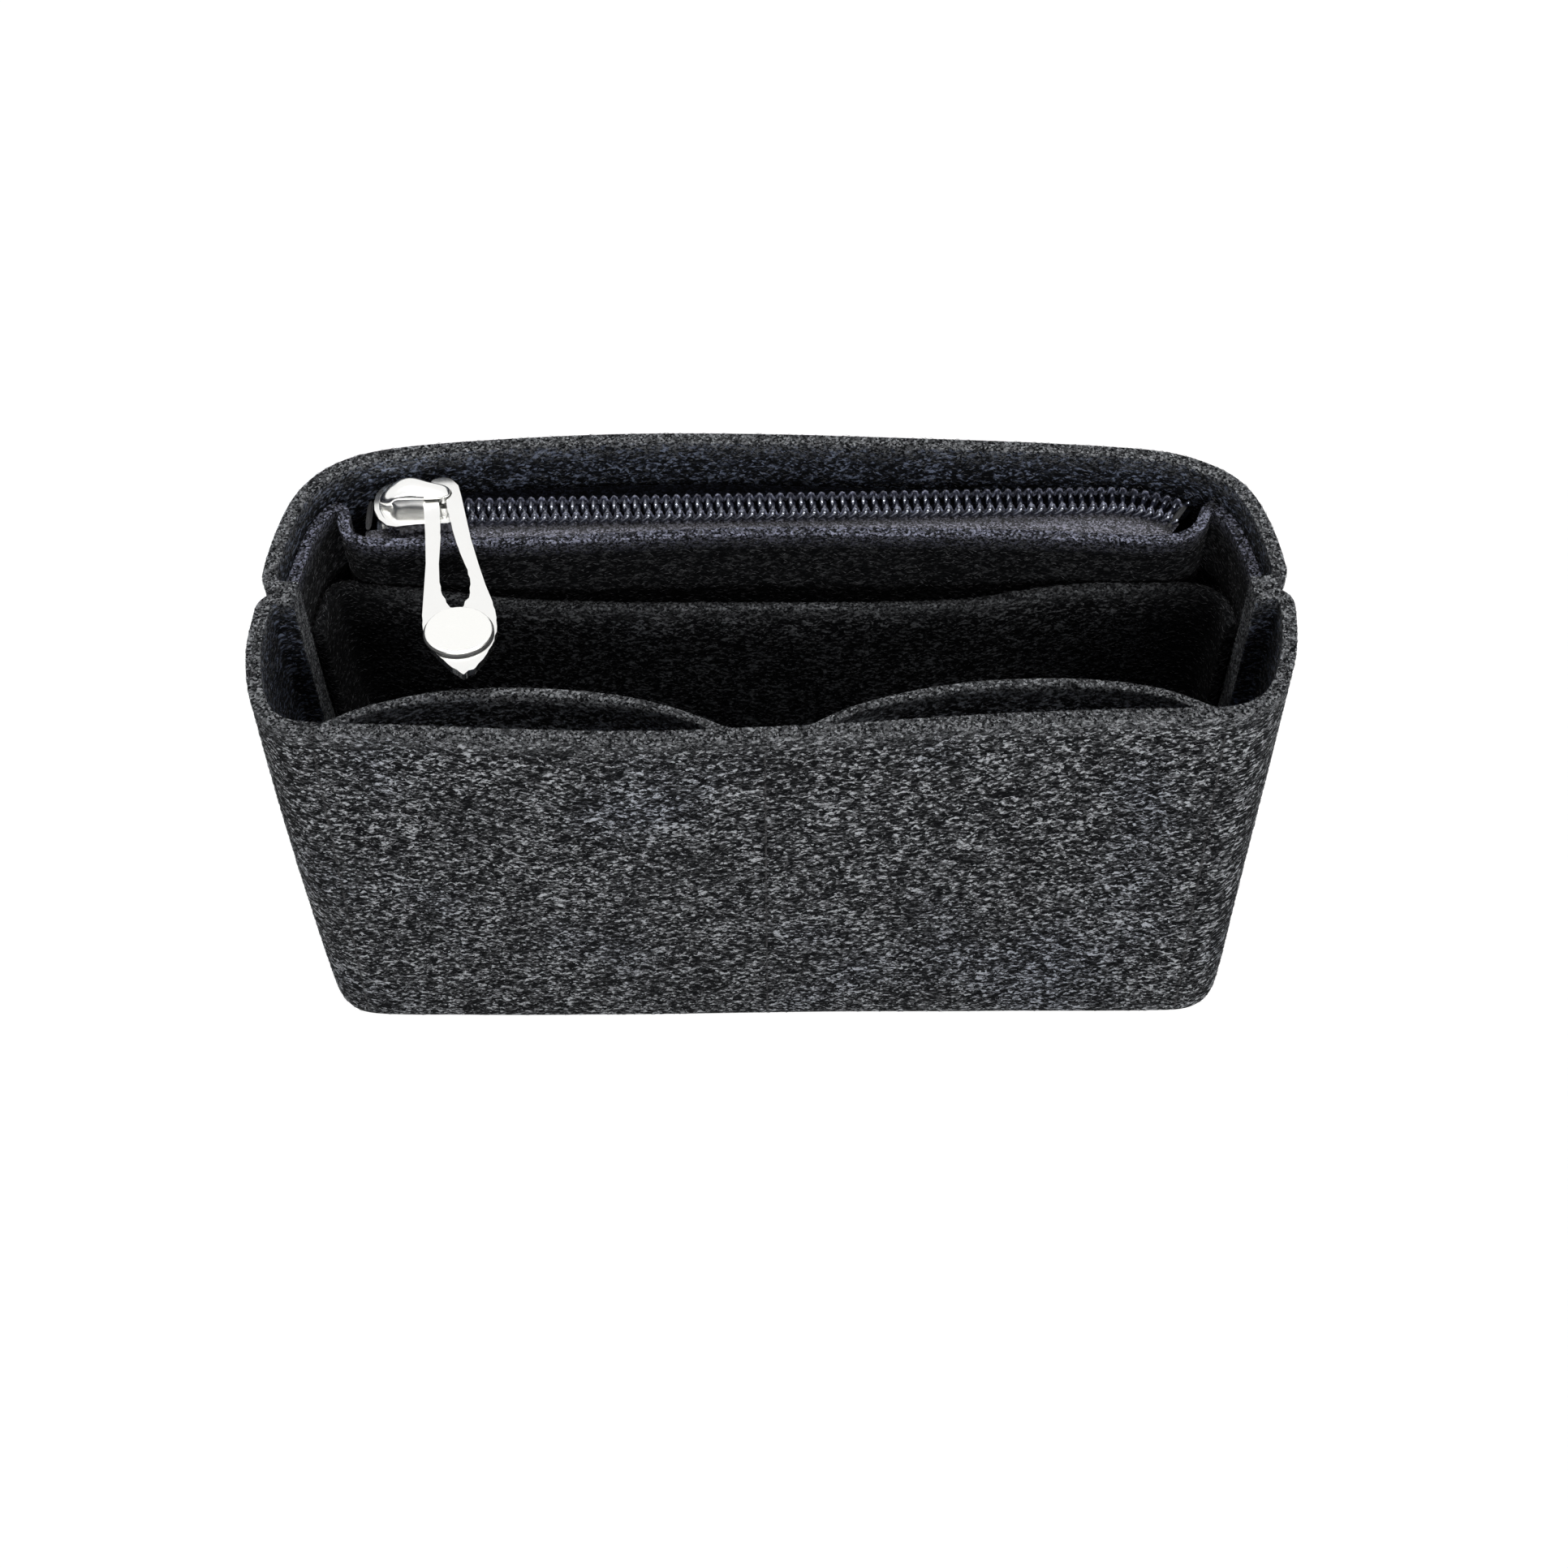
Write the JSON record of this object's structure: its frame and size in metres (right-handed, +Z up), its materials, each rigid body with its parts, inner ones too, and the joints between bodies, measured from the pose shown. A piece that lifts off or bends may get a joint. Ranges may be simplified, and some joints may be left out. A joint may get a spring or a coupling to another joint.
{
  "type": "purse organizer insert",
  "caption": "Felt bag insert with an open middle, slip pockets along the front and rear walls and a zipped rear pocket with a swinging metal pull.",
  "frame": {"origin": "centre of the bounding box at its bottom, on the plane that the base stands on", "axes": "+X along the width towards the open end of the zip chain, +Y from the front wall to the rear wall, +Z up"},
  "size_m": [0.1451, 0.0581, 0.0723],
  "materials": {
    "outer_felt": "charcoal heather wool-look felt, matt",
    "inner_felt": "charcoal heather felt with lighter cut edges, matt",
    "zip_tape": "woven polyester tape, purple-grey",
    "zip_coil": "glossy navy-black monofilament coil",
    "thread": "dark sewing thread",
    "nickel": "polished nickel plate",
    "nickel_disc": "polished nickel plate, blank"
  },
  "bodies": {
    "insert": {"front_shell": "outer_felt", "back_shell": "outer_felt", "base_panel": "outer_felt", "front_pocket_panel": "inner_felt", "rear_slip_pocket": "inner_felt", "zip_pocket_panel": "inner_felt", "zip_tape_back": "zip_tape", "zip_tape_front": "zip_tape", "coil_back": "zip_coil", "coil_front": "zip_coil", "end_tack_left": "thread", "end_tack_right": "thread"},
    "slider": {"slider_body": "nickel", "slider_crown": "nickel"},
    "pull": {"pull": "nickel", "pull_disc": "nickel_disc"}
  },
  "joints": [
    {"name": "zip_slide", "type": "slide", "parent": "insert", "child": "slider", "axis": [0.9997, 0.0244, 0], "range_m": [0, 0.09], "deforming": ["coil_back", "coil_front", "zip_tape_back", "zip_tape_front"]},
    {"name": "pull_swing", "type": "hinge", "parent": "slider", "child": "pull", "pos_m": [-0.04806, 0.01899, 0.06728], "axis": [-0.0026, 0.1045, 0.9945], "range_deg": [-28, 28]}
  ]
}
